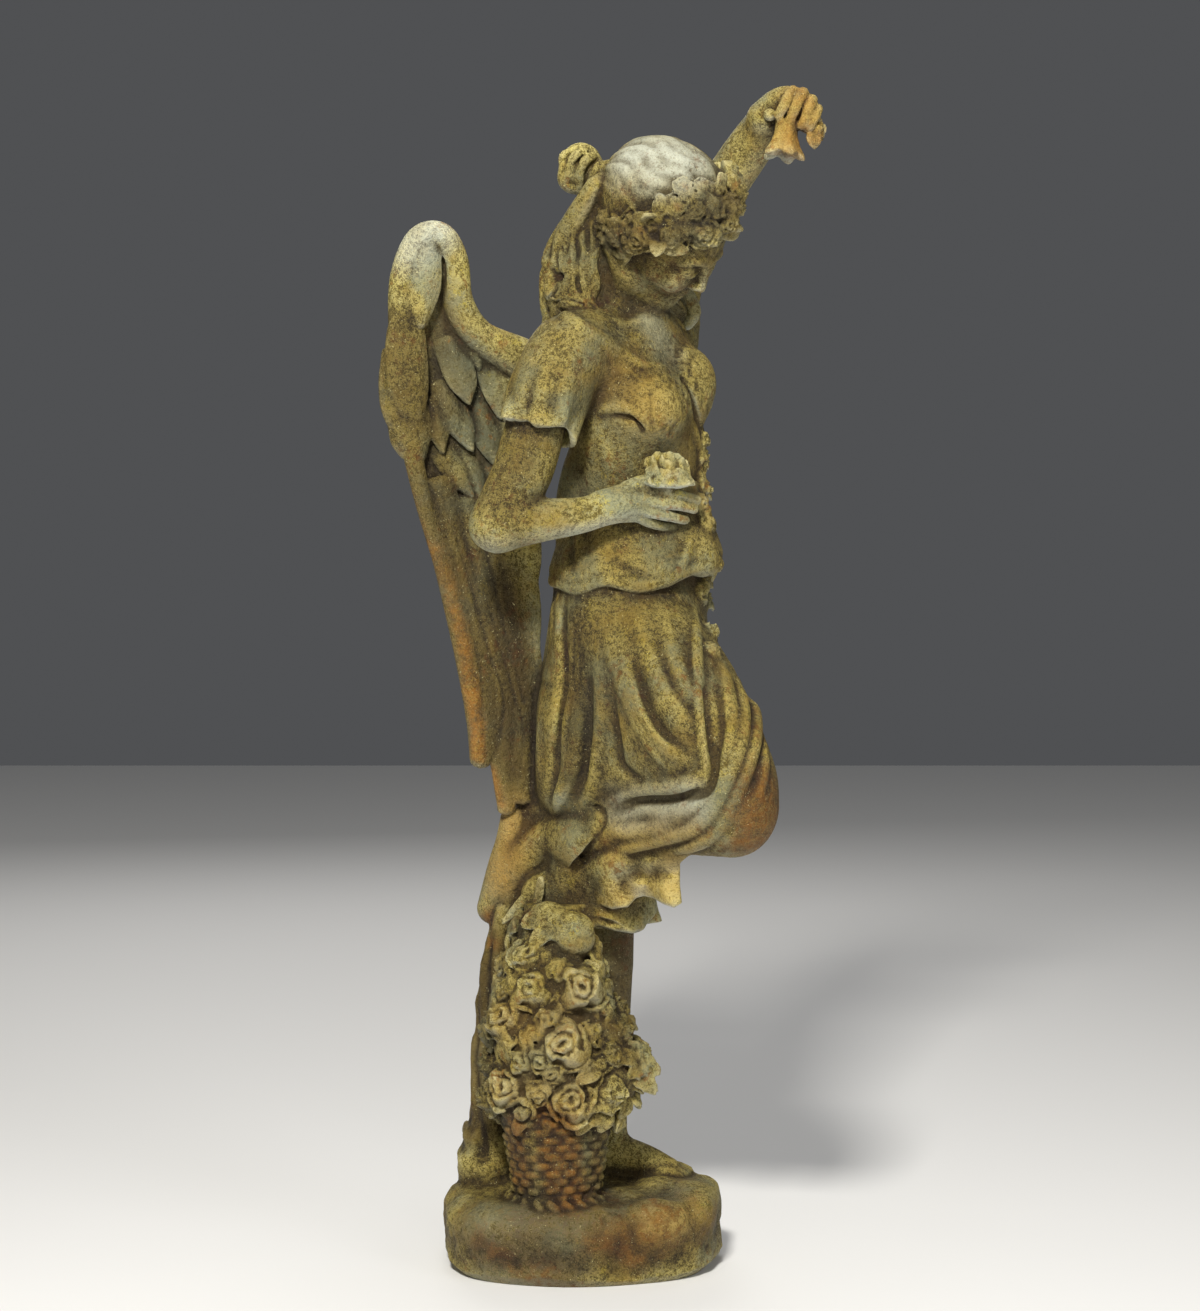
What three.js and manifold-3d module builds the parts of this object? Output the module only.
// Garden statue of a young angel: a winged girl in a belted tunic, running, one arm raised, one hand holding a rose to her
// waist, one leg lifted behind her over a basket heaped with roses, on a low rocky base. It is one casting with its base.
// Millimetres, +Z up. The origin is the middle of the flat underside, and -Y is the side the statue is shown from.
import * as THREE from "three";
import { mergeVertices } from "three/addons/utils/BufferGeometryUtils.js";
import Module from "manifold-3d";

const wasm = await Module();
wasm.setup();

// ---------------------------------------------------------------- driving dimensions
const V = (x, y, z) => new THREE.Vector3(x, y, z);
const FACING = THREE.MathUtils.degToRad(48); // the chest is turned this far from -Y towards +X
const FWD = V(Math.sin(FACING), -Math.cos(FACING), 0); // out of the chest
const RIGHT = V(-Math.cos(FACING), -Math.sin(FACING), 0); // out of the right shoulder
const UP = V(0, 0, 1);

const UNDER = -12; // the underside, below the level the figure is set out from
const BASE = { halfX: 160, halfY: 125, top: 80, edge: 2.5 }; // rocky slab
const ROCK = { at: V(-112, 28, 40), w: 34, d: 38, h: 108 }; // boulder behind the basket
const TRUNK = { foot: V(-98, 32, 120), top: V(-34, 36, 462), r: 23 }; // stump that props the lifted foot
const BASKET = { x: -27, y: -52, foot: 68, rFoot: 49, rRim: 63, h: 106, rows: 3, braid: 7 };
const HEAP = { x: -18, y: -46, foot: 160, h: 236, r: 82, lean: V(-14, 16, 0), roses: 14, roseR: 31 };

const PELVIS = V(60, 5, 722);
const CHEST = V(55, 0, 1000);
const NECK = { base: V(34, 10, 1062), top: V(72, -22, 1170), r: 37 };
const HEAD = { at: V(94, -41, 1208), long: 83, wide: 68, high: 82 };
const HEAD_FWD = V(0.689, -0.279, -0.669).normalize(); // the face looks down and to the side
const HEAD_UP = V(0.455, -0.552, 0.698).normalize();
const BUN = V(1, 5, 1268);
const WREATH = { roses: 9, r: 19, lift: 16, out: 1.05 };

const SHOULDER_R = V(-22, -84, 1046),
  ELBOW_R = V(-88, -102, 856),
  WRIST_R = V(58, -104, 893),
  PALM_R = V(92, -88, 893);
const SHOULDER_L = V(92, 88, 1048),
  ELBOW_L = V(126, 146, 1192),
  WRIST_L = V(220, 80, 1314),
  PALM_L = V(248, 66, 1338);
const ARM = { upper: 34, elbow: 30, fore: 31, wrist: 20 };

const KNEE_R = V(174, -164, 540),
  ANKLE_R = V(-24, 26, 484),
  HEEL_R = V(-74, 44, 504),
  TOE_R = V(-104, 46, 366);
const KNEE_L = V(30, 58, 432),
  ANKLE_L = V(34, 46, 132),
  TOE_L = V(120, 34, 88);

const WING = { thick: 14, rim: 17, rings: 12, across: 4, rows: [0.3, 0.46, 0.62] }; // across: feathers side by side; rows: where each row ends
const ROSE_SIDES = 6;

// ---------------------------------------------------------------- geometry helpers
// A closed triangle mesh as a solid with its faces out.
function solid(geometry) {
  const g = geometry.clone();
  for (const name of ["normal", "uv"]) g.deleteAttribute(name);
  const m = mergeVertices(g, 1e-3);
  const make = (tri) =>
    new wasm.Manifold(
      new wasm.Mesh({
        numProp: 3,
        vertProperties: new Float32Array(m.attributes.position.array),
        triVerts: tri,
      }),
    );
  const tri = new Uint32Array(m.index.array);
  const s = make(tri);
  return s.volume() > 0 ? s : make(tri.reverse());
}

// Skins a run of closed rings with the same number of points, and closes both ends with a fan.
function loft(rings) {
  const n = rings[0].length,
    pos = [],
    idx = [];
  for (const ring of rings) for (const p of ring) pos.push(p.x, p.y, p.z);
  for (let i = 0; i + 1 < rings.length; i++)
    for (let j = 0; j < n; j++) {
      const a = i * n + j,
        b = i * n + ((j + 1) % n);
      idx.push(a, b, a + n, b, b + n, a + n);
    }
  const cap = (ring, offset, flip) => {
    const c = ring.reduce((s, p) => s.add(p), V(0, 0, 0)).divideScalar(n);
    const at = pos.length / 3;
    pos.push(c.x, c.y, c.z);
    for (let j = 0; j < n; j++) {
      const a = offset + j,
        b = offset + ((j + 1) % n);
      flip ? idx.push(at, b, a) : idx.push(at, a, b);
    }
  };
  cap(rings[0], 0, true);
  cap(rings[rings.length - 1], (rings.length - 1) * n, false);
  const g = new THREE.BufferGeometry();
  g.setAttribute("position", new THREE.Float32BufferAttribute(pos, 3));
  g.setIndex(idx);
  return g;
}

// Value of a list of numbers at t from 0 to 1, eased between entries.
function along(list, t) {
  const u = Math.min(Math.max(t, 0), 1) * (list.length - 1),
    i = Math.min(Math.floor(u), list.length - 2);
  return THREE.MathUtils.lerp(list[i], list[i + 1], THREE.MathUtils.smoothstep(u - i, 0, 1));
}

// A limb, lock, stem or feather: a round or flattened section carried along a smooth curve, with domed ends.
// flat is the section's thickness over its width, and side is the direction of its width.
function limb(points, radii, { sides = 8, rings = 0, flat = 1, side = null, dome = 0.7, ripple = null } = {}) {
  const curve = new THREE.CatmullRomCurve3(points);
  const count = rings || 2 * (points.length - 1);
  let n0 = side ? side.clone() : null;
  const made = [];
  const ringAt = (p, tangent, r, t) => {
    if (!n0) n0 = Math.abs(tangent.z) < 0.9 ? V(0, 0, 1) : V(1, 0, 0);
    const n = n0.clone().addScaledVector(tangent, -n0.dot(tangent)).normalize();
    if (!side) n0 = n.clone();
    const b = tangent.clone().cross(n);
    return Array.from({ length: sides }, (_, j) => {
      const a = (2 * Math.PI * j) / sides,
        k = r * (ripple ? 1 + ripple(a, t) : 1);
      return p
        .clone()
        .addScaledVector(n, k * Math.cos(a))
        .addScaledVector(b, k * flat * Math.sin(a));
    });
  };
  for (let i = 0; i <= count; i++) {
    const t = i / count,
      p = curve.getPoint(t),
      tan = curve.getTangent(t),
      r = along(radii, t);
    if (i === 0 && dome) {
      made.push(ringAt(p.clone().addScaledVector(tan, -dome * r), tan, r * 0.55, t));
    }
    made.push(ringAt(p, tan, r, t));
    if (i === count && dome) {
      made.push(ringAt(p.clone().addScaledVector(tan, dome * r), tan, r * 0.55, t));
    }
  }
  return solid(loft(made));
}

// An egg with its own axes.
function egg(at, ax, ay, az, rx, ry, rz, w = 10, h = 7) {
  const g = new THREE.SphereGeometry(1, w, h);
  const m = new THREE.Matrix4().makeBasis(
    ax.clone().multiplyScalar(rx),
    ay.clone().multiplyScalar(ry),
    az.clone().multiplyScalar(rz),
  );
  m.setPosition(at);
  g.applyMatrix4(m);
  return solid(g);
}

// A level ring round the body: half-width a across the shoulders, half-depth b front to back, drawn in and out by fold.
function bodyRing(c, a, b, n, fold = () => 0, lift = () => 0) {
  return Array.from({ length: n }, (_, j) => {
    const th = (2 * Math.PI * j) / n,
      k = 1 + fold(th);
    return c
      .clone()
      .addScaledVector(RIGHT, a * k * Math.cos(th))
      .addScaledVector(FWD, b * k * Math.sin(th))
      .addScaledVector(UP, lift(th));
  });
}

// A full-blown rose: a turned bloom with a raised heart, facing along dir.
function rose(at, dir, r, sides = ROSE_SIDES) {
  const profile = [
    [0, -0.75],
    [1.0, -0.05],
    [0.82, 0.36],
    [0.5, 0.42],
    [0, 0.72],
  ].map(([x, y]) => new THREE.Vector2(x * r, y * r));
  const g = new THREE.LatheGeometry(profile, sides);
  g.applyQuaternion(new THREE.Quaternion().setFromUnitVectors(V(0, 1, 0), dir.clone().normalize()));
  g.translate(at.x, at.y, at.z);
  return solid(g);
}

// A leaf: a thin pointed blade from root along dir.
function leaf(root, dir, length, width, normal) {
  const tip = root.clone().addScaledVector(dir, length),
    mid = root.clone().lerp(tip, 0.5).addScaledVector(normal, length * 0.12);
  const side = dir.clone().cross(normal).normalize();
  return limb([root, mid, tip], [width * 0.35, width * 0.5, width * 0.12], { sides: 4, rings: 3, flat: 0.4, side, dome: 0.5 });
}

const pieces = [];
const put = (...s) => pieces.push(...s);

// ---------------------------------------------------------------- rocky base, boulder and stump
{
  const outline = (k, z, wave) =>
    Array.from({ length: 18 }, (_, j) => {
      const th = (2 * Math.PI * j) / 18,
        c = Math.cos(th),
        s = Math.sin(th),
        q = Math.pow(Math.pow(Math.abs(c), BASE.edge) + Math.pow(Math.abs(s), BASE.edge), -1 / BASE.edge),
        r = k * q * (1 + wave * (0.03 * Math.sin(3 * th + 0.8) + 0.018 * Math.sin(7 * th)));
      return V(BASE.halfX * r * c, BASE.halfY * r * s, z);
    });
  const tilt = (ring, dz) => ring.map((p) => V(p.x, p.y, p.z + (dz * p.x) / BASE.halfX));
  put(
    solid(
      loft([
        outline(0.95, UNDER, 1),
        outline(0.985, UNDER + 16, 1),
        outline(1.0, UNDER + 46, 1),
        tilt(outline(0.96, BASE.top - 26, 1), 4),
        tilt(outline(0.85, BASE.top - 7, 1), 6),
        tilt(outline(0.66, BASE.top + 2, 1), 5),
      ]),
    ),
  );
  const boulder = (k, dz) =>
    Array.from({ length: 9 }, (_, j) => {
      const th = (2 * Math.PI * j) / 9 + 0.35,
        r = 1 + 0.14 * Math.sin(2.3 * j + 1);
      return ROCK.at.clone().add(V(k * ROCK.w * r * Math.cos(th), k * ROCK.d * r * Math.sin(th), dz + 4 * Math.sin(4 * j)));
    });
  put(solid(loft([boulder(1.05, 0), boulder(1, 0.45 * ROCK.h), boulder(0.86, 0.85 * ROCK.h), boulder(0.55, ROCK.h)])));
  const bark = (a, t) => 0.12 * Math.cos(5 * a + 4 * t);
  put(
    limb(
      [TRUNK.foot, TRUNK.foot.clone().add(V(-6, 6, 80)), TRUNK.foot.clone().add(V(6, 8, 220)), TRUNK.top.clone().add(V(-32, 4, -54)), TRUNK.top],
      [TRUNK.r * 1.25, TRUNK.r * 1.15, TRUNK.r, TRUNK.r * 0.8, TRUNK.r * 0.7],
      { sides: 8, rings: 6, ripple: bark },
    ),
  );
}

// ---------------------------------------------------------------- basket and its heap of roses
{
  const wall = [new THREE.Vector2(0, 0)];
  for (let i = 0; i <= 2 * BASKET.rows; i++) {
    const t = i / (2 * BASKET.rows);
    wall.push(new THREE.Vector2(THREE.MathUtils.lerp(BASKET.rFoot, BASKET.rRim, t * t * 0.4 + t * 0.6) + (i % 2 ? 1.6 : -1.2), t * BASKET.h));
  }
  wall.push(new THREE.Vector2(0, BASKET.h));
  const g = new THREE.LatheGeometry(wall, 14).rotateX(Math.PI / 2);
  g.translate(BASKET.x, BASKET.y, BASKET.foot - 4);
  put(solid(g));
  const ring = new THREE.TorusGeometry(BASKET.rFoot + 3, BASKET.braid, 4, 14);
  ring.translate(BASKET.x, BASKET.y, BASKET.foot + 6);
  put(solid(ring));

    const heapR = (t) => HEAP.r * along([0.78, 1.0, 1.0, 0.9, 0.68, 0.36], t);
  const heapC = (t) => V(HEAP.x, HEAP.y, HEAP.foot + t * HEAP.h).addScaledVector(HEAP.lean, t);
  const core = Array.from({ length: 6 }, (_, i) => {
    const t = i / 5,
      c = heapC(t),
      r = heapR(t) * 0.78;
    return Array.from({ length: 10 }, (_, j) => V(c.x + r * Math.cos((2 * Math.PI * j) / 10), c.y + 0.9 * r * Math.sin((2 * Math.PI * j) / 10), c.z));
  });
  put(solid(loft(core)));
  const golden = Math.PI * (3 - Math.sqrt(5));
  for (let i = 0; i < HEAP.roses; i++) {
    const t = 0.03 + 0.95 * Math.pow((i + 0.4) / HEAP.roses, 1.12),
      a = -Math.PI / 2 + i * golden,
      c = heapC(t),
      r = heapR(t) * 0.88,
      dir = V(Math.cos(a), Math.sin(a), 0.1 + 0.75 * t).normalize(),
      at = V(c.x + r * Math.cos(a), c.y + 0.9 * r * Math.sin(a), c.z);
    put(rose(at, dir, HEAP.roseR * (1 - 0.12 * (i % 3))));
    if (i % 5 === 1) put(leaf(at.clone().addScaledVector(UP, -14), V(dir.x, dir.y, -0.4).normalize(), 34, 22, UP));
  }
}

// ---------------------------------------------------------------- standing leg and foot
put(limb([KNEE_L, KNEE_L.clone().lerp(ANKLE_L, 0.35).add(V(-2, 5, 0)), ANKLE_L, ANKLE_L.clone().add(V(0, 2, -44))], [35, 35, 21, 23], { sides: 7 }));
put(
  limb(
    [ANKLE_L.clone().add(V(-22, 8, -34)), ANKLE_L.clone().add(V(20, -4, -28)), TOE_L.clone().add(V(-30, 4, 2)), TOE_L],
    [22, 23, 19, 10],
    { sides: 7, rings: 5, flat: 0.85, side: V(0.15, 1, 0) },
  ),
);

// ---------------------------------------------------------------- body and tunic, from the hem round the standing leg to the neck
{
  // height, middle, half-width, half-depth, depth of the folds, share of the overfold's wavy edge
  const rows = [
    [392, 38, 46, 42, 40, 0.1, 0],
    [440, 30, 42, 60, 54, 0.09, 0],
    [490, 30, 34, 84, 72, 0.08, 0],
    [545, 36, 28, 102, 84, 0.07, 0],
    [605, 45, 20, 107, 88, 0.06, 0],
    [670, 54, 12, 104, 87, 0.04, 0],
    [740, 60, 6, 95, 82, 0.02, 0],
    [786, 60, 4, 86, 76, 0, 1],
    [798, 60, 3, 99, 90, 0.012, 1],
    [822, 60, 3, 99, 90, 0.012, 0.8],
    [866, 63, 3, 82, 67, 0, 0],
    [920, 65, 1, 80, 62, 0, 0],
    [1000, 62, 0, 93, 64, 0, 0],
    [1040, 54, 2, 96, 58, 0, 0],
    [1068, 46, 3, 80, 48, 0, 0],
    [1084, 44, 2, 46, 38, 0, 0],
  ];
  const folds = (amp, z) => (th) => amp * (0.7 * Math.cos(8 * th + 0.012 * z) + 0.5 * Math.cos(5 * th - 0.008 * z + 1));
  const edge = (th) => 14 * Math.sin(th - 0.5) + 6 * Math.sin(3 * th + 0.6);
  put(solid(loft(rows.map(([z, x, y, a, b, amp, k]) => bodyRing(V(x, y, z), a, b, 20, folds(amp, z), (th) => k * edge(th))))));
  const bosom = (s) => CHEST.clone().addScaledVector(FWD, 47).addScaledVector(RIGHT, 37 * s).addScaledVector(UP, -8);
  for (const s of [1, -1]) put(egg(bosom(s), FWD, RIGHT, UP, 36, 40, 42, 8, 6));
}

// ---------------------------------------------------------------- lifted leg and hanging hem
{
  const hip = PELVIS.clone().addScaledVector(RIGHT, 34).addScaledVector(FWD, 18);
  const thighFold = (a, t) => 0.05 * Math.cos(6 * a + 5 * t);
  put(limb([hip, hip.clone().lerp(KNEE_R, 0.5).add(V(6, -6, 14)), KNEE_R.clone().add(V(-10, 10, 14))], [78, 70, 52], { sides: 12, rings: 5, ripple: thighFold }));
  put(limb([V(34, -6, 640), V(96, -72, 582), V(148, -130, 556)], [84, 64, 44], { sides: 12, rings: 4 })); // the lap of the skirt between thigh and shin
  put(egg(KNEE_R, V(1, 0, 0), V(0, 1, 0), UP, 46, 46, 50));
  const shin = ANKLE_R.clone().sub(KNEE_R);
  const shinFold = (a, t) => 0.07 * Math.cos(5 * a + 6 * t);
  put(limb([KNEE_R, KNEE_R.clone().addScaledVector(shin, 0.5).add(V(0, 0, 2)), ANKLE_R.clone().addScaledVector(shin, -0.06)], [48, 50, 36], { sides: 10, rings: 5, ripple: shinFold }));

  // the hem that falls from the lifted leg, deeper and shallower along its length
  const across = shin.clone().normalize().cross(UP).normalize();
  const drop = [6, 34, 46, 38, 52, 40, 4];
  const hem = Array.from({ length: 10 }, (_, i) => {
    const t = i / 9,
      s = 0.9 - 0.62 * t,
      c = KNEE_R.clone().addScaledVector(shin, s),
      d = along(drop, t),
      sway = 12 * Math.sin(9 * t);
    return Array.from({ length: 8 }, (_, j) => {
      const a = (2 * Math.PI * j) / 8,
        low = Math.sin(a) < 0 ? d + 36 : 20;
      return c
        .clone()
        .addScaledVector(across, 20 * Math.cos(a) + (Math.sin(a) < 0 ? sway * -Math.sin(a) : 0))
        .addScaledVector(UP, low * Math.sin(a) - 8);
    });
  });
  put(solid(loft(hem)));
  // the roll of cloth round the standing knee
  put(
    limb(
      [V(-30, 26, 424), V(-4, -4, 408), V(34, 2, 388), V(62, 30, 386), V(66, 62, 400)],
      [16, 22, 20, 18, 12],
      { sides: 6, rings: 8 },
    ),
  );
}
// lifted foot, sole to the rear
put(limb([ANKLE_R.clone().add(V(20, -16, 4)), ANKLE_R.clone().add(V(-18, 6, -2)), HEEL_R.clone().add(V(10, -2, -8))], [30, 27, 25], { sides: 8 }));
put(
  limb([HEEL_R.clone().add(V(0, 0, 4)), HEEL_R.clone().lerp(TOE_R, 0.4).add(V(4, 0, 0)), HEEL_R.clone().lerp(TOE_R, 0.75), TOE_R], [22, 27, 27, 15], {
    sides: 8,
    rings: 5,
    flat: 0.9,
    side: V(0, 1, 0),
  }),
);

// ---------------------------------------------------------------- neck and head
put(limb([NECK.base, NECK.base.clone().lerp(NECK.top, 0.5).add(V(-2, 2, 0)), NECK.top], [NECK.r * 1.1, NECK.r * 0.9, NECK.r], { sides: 10, dome: 0.3 }));
{
  const side = HEAD_UP.clone().cross(HEAD_FWD).normalize();
  const fwd = side.clone().cross(HEAD_UP).normalize();
  const head = (u, f, s) => HEAD.at.clone().addScaledVector(HEAD_UP, u).addScaledVector(fwd, f).addScaledVector(side, s);
  put(egg(head(12, -4, 0), fwd, side, HEAD_UP, HEAD.long, HEAD.wide, HEAD.high * 0.9, 10, 8));
  // face: brow and cheeks, jaw and chin, nose, lips
  put(egg(head(-30, 26, 0), fwd, side, HEAD_UP, 54, 52, 62, 10, 7));
  put(egg(head(-70, 44, 0), fwd, side, HEAD_UP, 26, 24, 20, 7, 5));
  put(limb([head(-8, 74, 0), head(-24, 84, 0), head(-36, 82, 0)], [7, 9, 9], { sides: 5, rings: 2 }));
  put(egg(head(-50, 70, 0), fwd, side, HEAD_UP, 11, 17, 8, 6, 4));
  // wreath of roses
  for (let i = 0; i < WREATH.roses; i++) {
    const a = (2 * Math.PI * i) / WREATH.roses,
      out = fwd.clone().multiplyScalar(Math.cos(a)).addScaledVector(side, Math.sin(a)),
      at = head(WREATH.lift, HEAD.long * WREATH.out * Math.cos(a) - 4, HEAD.wide * WREATH.out * Math.sin(a));
    put(rose(at, out.clone().addScaledVector(HEAD_UP, i % 2 ? 0.5 : 0.05), WREATH.r * (i % 2 ? 0.9 : 1.1), 6));
  }
  // bun tied up at the back of the crown
  const root = head(4, -80, 0);
  put(limb([root, root.clone().lerp(BUN, 0.6), BUN], [17, 15, 16], { sides: 6, rings: 3 }));
  put(egg(BUN.clone().add(V(-4, 2, 4)), V(0.8, 0, 0.6), V(0, 1, 0), V(-0.6, 0, 0.8), 25, 24, 31, 8, 6));
  // hair falling down the nape to the shoulder blades in waves
  const nape = head(-16, -58, 0);
  put(
    limb([nape, nape.clone().add(V(-28, 12, -46)), V(-22, 4, 1104), V(-40, 10, 1064)], [36, 35, 38, 26], {
      sides: 8,
      rings: 4,
      flat: 0.6,
      side: RIGHT,
      ripple: (a, t) => 0.09 * Math.cos(5 * a + 6 * t),
    }),
  );
}

// ---------------------------------------------------------------- arms and hands
{
  const frill = (a, t) => 0.06 * t * Math.cos(5 * a);
  put(
    limb([SHOULDER_R.clone().add(V(26, 24, 8)), SHOULDER_R, SHOULDER_R.clone().lerp(ELBOW_R, 0.3), SHOULDER_R.clone().lerp(ELBOW_R, 0.44)], [45, 49, 48, 48], {
      sides: 11,
      rings: 4,
      dome: 0.12,
      ripple: frill,
    }),
  );
  put(
    limb([SHOULDER_R, SHOULDER_R.clone().lerp(ELBOW_R, 0.55), ELBOW_R], [ARM.upper, ARM.upper, ARM.elbow], { sides: 8, rings: 4 }),
  );
  put(
    limb([ELBOW_R, ELBOW_R.clone().lerp(WRIST_R, 0.4), WRIST_R], [ARM.elbow, ARM.fore - 5, ARM.wrist], { sides: 8, rings: 4 }),
  );
  put(egg(ELBOW_R.clone().add(V(-2, 0, -1)), V(1, 0, 0), V(0, 1, 0), UP, ARM.elbow, ARM.elbow, ARM.elbow, 8, 6));
  // the hand lies flat, fingers side by side
  put(
    limb([WRIST_R.clone().add(V(-4, 2, 0)), PALM_R, PALM_R.clone().add(V(26, 8, -2)), PALM_R.clone().add(V(44, 26, -4))], [20, 26, 25, 17], {
      sides: 8,
      rings: 5,
      flat: 0.5,
      side: UP,
      dome: 0.4,
      ripple: (a, t) => 0.07 * THREE.MathUtils.smoothstep(t, 0.5, 1) * Math.cos(5 * a),
    }),
  );
  put(limb([PALM_R.clone().add(V(-14, -2, 18)), PALM_R.clone().add(V(0, 0, 32)), PALM_R.clone().add(V(14, 4, 34))], [9, 9, 7], { sides: 5, rings: 3 }));
  const bloom = PALM_R.clone().add(V(8, 2, 42));
  put(limb([PALM_R.clone().add(V(4, 4, 6)), bloom], [10, 13], { sides: 6, rings: 1 }));
  put(rose(bloom, V(0.1, -0.35, 1), 23, 9));

  put(
    limb(
      [SHOULDER_L.clone().add(V(-30, -24, -8)), SHOULDER_L, SHOULDER_L.clone().lerp(ELBOW_L, 0.6), ELBOW_L, ELBOW_L.clone().lerp(WRIST_L, 0.4), WRIST_L],
      [44, 46, ARM.upper, ARM.elbow, ARM.fore, ARM.wrist + 2],
      { sides: 8, rings: 9, dome: 0.4 },
    ),
  );
  // the raised hand droops over its flowers, fingers curled down
  put(
    limb([WRIST_L.clone().add(V(-6, 2, -6)), PALM_L.clone().add(V(0, 0, 8)), PALM_L.clone().add(V(8, -22, 6)), PALM_L.clone().add(V(2, -30, -24))], [20, 25, 24, 16], {
      sides: 8,
      rings: 5,
      flat: 0.6,
      side: V(0.8, 0.3, -0.3),
      dome: 0.4,
      ripple: (a, t) => 0.07 * THREE.MathUtils.smoothstep(t, 0.5, 1) * Math.cos(5 * a),
    }),
  );
  // two blooms left in the raised hand, one a hanging trumpet
  put(limb([PALM_L.clone().add(V(-6, -10, -6)), PALM_L.clone().add(V(-8, -16, -32)), PALM_L.clone().add(V(-10, -18, -52))], [12, 13, 25], { sides: 8, rings: 4, dome: 0.1 }));
  put(rose(PALM_L.clone().add(V(30, -10, -20)), V(0.8, -0.5, -0.4), 15, 7));
}

// ---------------------------------------------------------------- garland down the front of the tunic
for (let i = 0; i < 6; i++) {
  const t = i / 5,
    z = 968 - 262 * t,
    bulge = 8 * Math.sin(Math.PI * t) + 22 * THREE.MathUtils.smoothstep(t, 0.35, 1),
    at = CHEST.clone().setZ(z).addScaledVector(FWD, 58 + bulge).addScaledVector(RIGHT, -34 - 6 * (i % 2));
  put(rose(at, FWD.clone().addScaledVector(RIGHT, i % 2 ? -0.6 : -0.1), i % 2 ? 17 : 20, 6));
}

// ---------------------------------------------------------------- wings
// The right wing seen from the front: an outer edge and an inner edge run down from the wrist of the wing to its tips.
const wingOuter = new THREE.CatmullRomCurve3([V(-164, -8, 1200), V(-194, -15, 1180), V(-219, -20, 1112), V(-225, -22, 1030), V(-204, -17, 920), V(-174, -8, 800), V(-148, 0, 700), V(-124, 8, 590)]);
const wingInner = new THREE.CatmullRomCurve3([V(-146, -6, 1196), V(-124, 2, 1136), V(-84, 16, 1066), V(-58, 24, 990), V(-52, 28, 880), V(-52, 30, 760), V(-56, 28, 650), V(-64, 24, 560)]);
const wingTips = [V(-113, 10, 572), V(-92, 14, 540), V(-76, 18, 528)];
const wingRoot = [V(-8, 14, 1030), V(-64, 18, 1048), V(-112, 10, 1074), V(-134, 2, 1126)];
function wing(mirror) {
  const M = (p) => (mirror ? p.clone().addScaledVector(RIGHT, -2 * p.clone().sub(CHEST).dot(RIGHT)) : p.clone());
  const D = (d) => (mirror ? d.clone().addScaledVector(RIGHT, -2 * d.dot(RIGHT)) : d.clone());
  // relief of the front: a thick rolled edge, then overlapping rows of feathers that each rise to a rounded end
  const relief = (u, v) => {
    const roll = WING.rim * Math.exp(-Math.pow((u - 0.14) / 0.13, 2)) * (1 - 0.75 * v);
    const row = WING.rows.findIndex((end) => v < end + 0.035 * Math.abs(Math.sin(Math.PI * WING.across * u)));
    const from = row > 0 ? WING.rows[row - 1] : 0,
      shingle = row < 0 ? 0 : (6 * (v - from)) / (WING.rows[row] - from);
    const shaft = 3 * Math.abs(Math.sin(Math.PI * WING.across * u)) * THREE.MathUtils.smoothstep(v, 0.15, 0.4);
    return WING.thick / 2 + roll + shingle + shaft;
  };
  const front = 9,
    back = 4;
  const rings = Array.from({ length: WING.rings + 1 }, (_, i) => {
    const v = i / WING.rings,
      o = wingOuter.getPoint(v),
      n = wingInner.getPoint(v),
      normal = V(0.12, -1, 0.1).normalize(),
      cup = 10 * (1 - v);
    const at = (u, h) =>
      M(
        o
          .clone()
          .lerp(n, u)
          .addScaledVector(normal, h - cup * Math.sin(Math.PI * u)),
      );
    const ring = [];
    for (let j = 0; j < front; j++) ring.push(at(j / (front - 1), j === 0 || j === front - 1 ? 3 : relief(j / (front - 1), v)));
    for (let j = back - 1; j >= 0; j--) ring.push(at((j + 0.5) / back, -WING.thick / 2 - 4 * Math.exp(-Math.pow(((j + 0.5) / back - 0.2) / 0.2, 2))));
    return ring;
  });
  put(solid(loft(rings)));
  put(limb(wingRoot.map(M), [28, 25, 20, 17], { sides: 7, rings: 6 }));
  // ends of the longest flight feathers
  for (const tip of wingTips) {
    const root = tip.clone().add(V(-18, -4, 96));
    put(limb([root, tip].map(M), [13, 11], { sides: 4, rings: 2, flat: 0.5, side: D(V(1, 0, 0.2)) }));
  }
}
wing(false);
wing(true);

// ---------------------------------------------------------------- one casting
const joined = wasm.Manifold.union(pieces);
const whole = joined.decompose().reduce((a, b) => (b.volume() > a.volume() ? b : a));
const cut = whole.getMesh();
const geometry = new THREE.BufferGeometry();
const xyz = new Float32Array(cut.numVert * 3);
for (let i = 0; i < cut.numVert; i++) xyz.set(cut.vertProperties.subarray(i * cut.numProp, i * cut.numProp + 3), i * 3);
geometry.setAttribute("position", new THREE.BufferAttribute(xyz, 3));
geometry.translate(0, 0, -UNDER);
geometry.setIndex(new THREE.BufferAttribute(new Uint32Array(cut.triVerts), 1));
geometry.computeVertexNormals();

const statue = new THREE.Mesh(
  geometry,
  new THREE.MeshStandardMaterial({ name: "weathered_cast_iron", color: new THREE.Color(0.36, 0.33, 0.22), roughness: 0.9, metalness: 0.1 }),
);
statue.name = "angel_statue";
const angel = new THREE.Group();
angel.add(statue);
export default angel;
